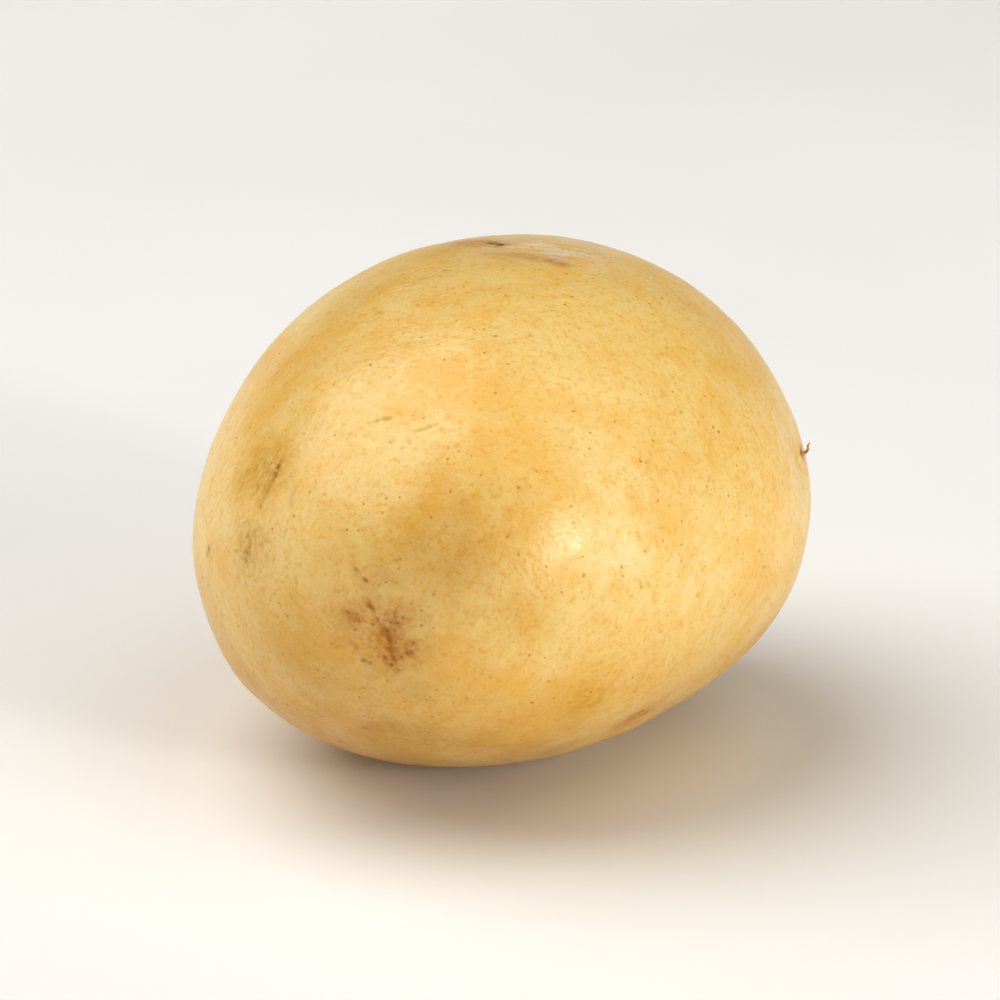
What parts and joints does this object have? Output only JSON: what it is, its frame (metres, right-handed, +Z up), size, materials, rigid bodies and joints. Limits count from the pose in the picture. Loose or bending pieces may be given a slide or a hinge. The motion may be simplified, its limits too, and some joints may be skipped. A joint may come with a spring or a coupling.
{
  "type": "potato",
  "caption": "Whole oval potato with smooth golden skin, shallow eyes and a stolon scar, lying on a small flat spot of its belly.",
  "frame": {"origin": "under the middle of the tuber, on the surface that its flat spot lies on", "axes": "+Y along the tuber from the heel with its stolon scar to the rose end, +Z up from the flat spot, +X across"},
  "size_m": [0.073, 0.084, 0.061],
  "materials": {
    "skin": "thin washed potato skin, golden yellow with fine brown lenticels, softly glossy"
  },
  "bodies": {
    "root": {"potato": "skin"}
  },
  "joints": []
}
